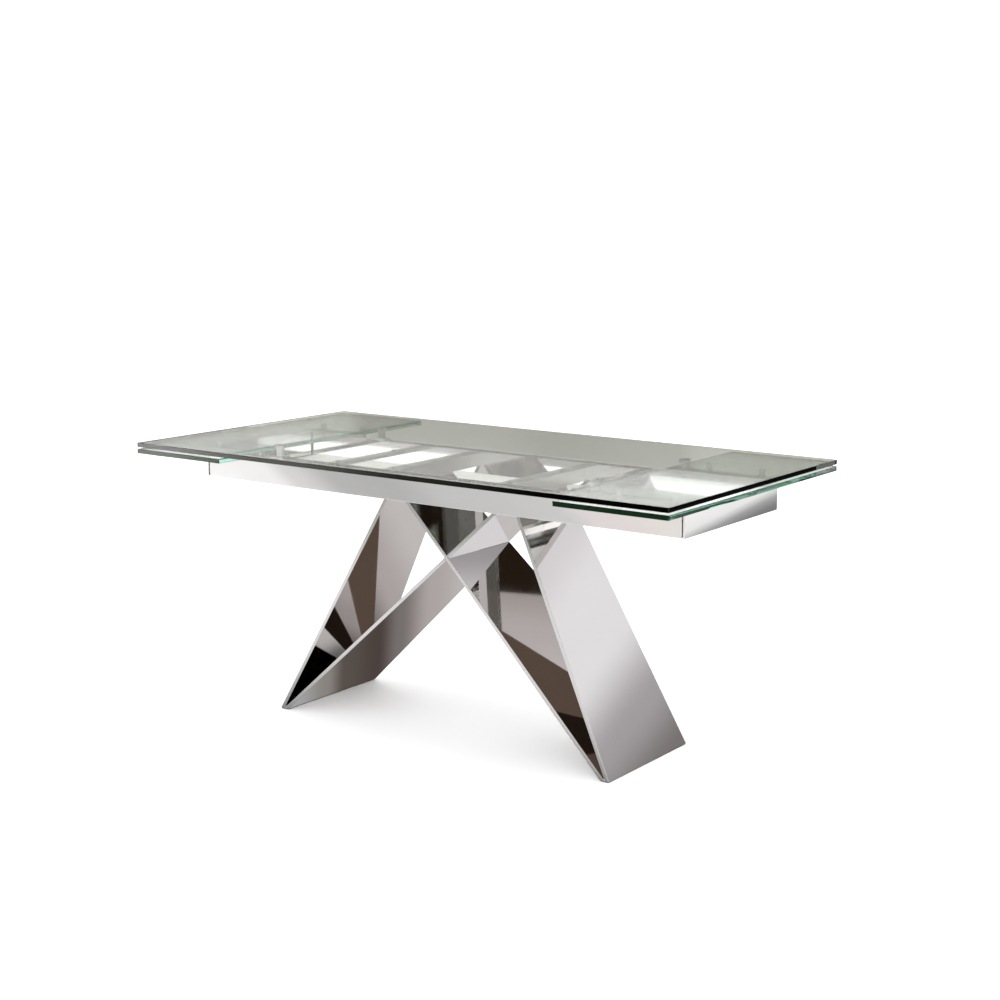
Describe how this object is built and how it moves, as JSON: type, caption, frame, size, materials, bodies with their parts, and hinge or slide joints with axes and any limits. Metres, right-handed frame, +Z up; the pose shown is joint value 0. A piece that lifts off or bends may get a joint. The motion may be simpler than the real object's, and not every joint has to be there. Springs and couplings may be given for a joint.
{
  "type": "extending dining table",
  "caption": "Rectangular clear-glass dining table on crossed mirror-steel leg plates, with a glass leaf under each end that slides out on telescopic arms.",
  "frame": {"origin": "on the floor, under the middle of the glass top", "axes": "+X along the table towards its right end, +Y towards its back, +Z up"},
  "size_m": [1.65, 0.86, 0.75],
  "materials": {
    "top_glass": "polished",
    "leaf_glass": "polished",
    "mirror_steel": "mirror polished stainless steel",
    "satin_steel": "satin",
    "zinc_steel": "zinc plated",
    "glide": "matt"
  },
  "bodies": {
    "base": {"top_glass": "top_glass", "top_post_left_front": "mirror_steel", "top_post_left_back": "mirror_steel", "top_post_right_front": "mirror_steel", "top_post_right_back": "mirror_steel", "post_saddle_left_front": "satin_steel", "post_saddle_left_back": "satin_steel", "post_saddle_right_front": "satin_steel", "post_saddle_right_back": "satin_steel", "side_rail_front": "mirror_steel", "side_rail_back": "mirror_steel", "cross_bar_left": "satin_steel", "cross_bar_right": "satin_steel", "leg_beam_left": "satin_steel", "leg_beam_right": "satin_steel", "bar_bolt_left_front": "zinc_steel", "bar_bolt_left_back": "zinc_steel", "bar_bolt_right_front": "zinc_steel", "bar_bolt_right_back": "zinc_steel", "beam_bolt_left_front": "zinc_steel", "beam_bolt_left_back": "zinc_steel", "beam_bolt_right_front": "zinc_steel", "beam_bolt_right_back": "zinc_steel", "outer_plate_left": "mirror_steel", "outer_plate_right": "mirror_steel", "inner_plate_left": "mirror_steel", "inner_plate_right": "mirror_steel", "floor_glide_left": "glide", "floor_glide_right": "glide"},
    "leaf_left": {"leaf_glass_left": "leaf_glass", "end_panel_left": "mirror_steel", "leaf_arm_left_front": "satin_steel", "leaf_arm_left_back": "satin_steel", "leaf_post_left_front_inner": "mirror_steel", "leaf_post_left_front_outer": "mirror_steel", "leaf_post_left_back_inner": "mirror_steel", "leaf_post_left_back_outer": "mirror_steel"},
    "leaf_right": {"leaf_glass_right": "leaf_glass", "end_panel_right": "mirror_steel", "leaf_arm_right_front": "satin_steel", "leaf_arm_right_back": "satin_steel", "leaf_post_right_front_inner": "mirror_steel", "leaf_post_right_front_outer": "mirror_steel", "leaf_post_right_back_inner": "mirror_steel", "leaf_post_right_back_outer": "mirror_steel"},
    "runners_left": {"runner_left_front": "zinc_steel", "runner_left_back": "zinc_steel"},
    "runners_right": {"runner_right_front": "zinc_steel", "runner_right_back": "zinc_steel"}
  },
  "joints": [
    {"name": "leaf_left_slide", "type": "slide", "parent": "base", "child": "leaf_left", "axis": [-1, 0, 0], "range_m": [0, 0.3]},
    {"name": "leaf_right_slide", "type": "slide", "parent": "base", "child": "leaf_right", "axis": [1, 0, 0], "range_m": [0, 0.3]},
    {"name": "runners_left_slide", "type": "slide", "parent": "base", "child": "runners_left", "axis": [-1, 0, 0], "range_m": [0, 0.15]},
    {"name": "runners_right_slide", "type": "slide", "parent": "base", "child": "runners_right", "axis": [1, 0, 0], "range_m": [0, 0.15]}
  ],
  "couplings": [
    {"joint": "runners_left_slide", "follows": "leaf_left_slide", "ratio": 0.5},
    {"joint": "runners_right_slide", "follows": "leaf_right_slide", "ratio": 0.5}
  ]
}
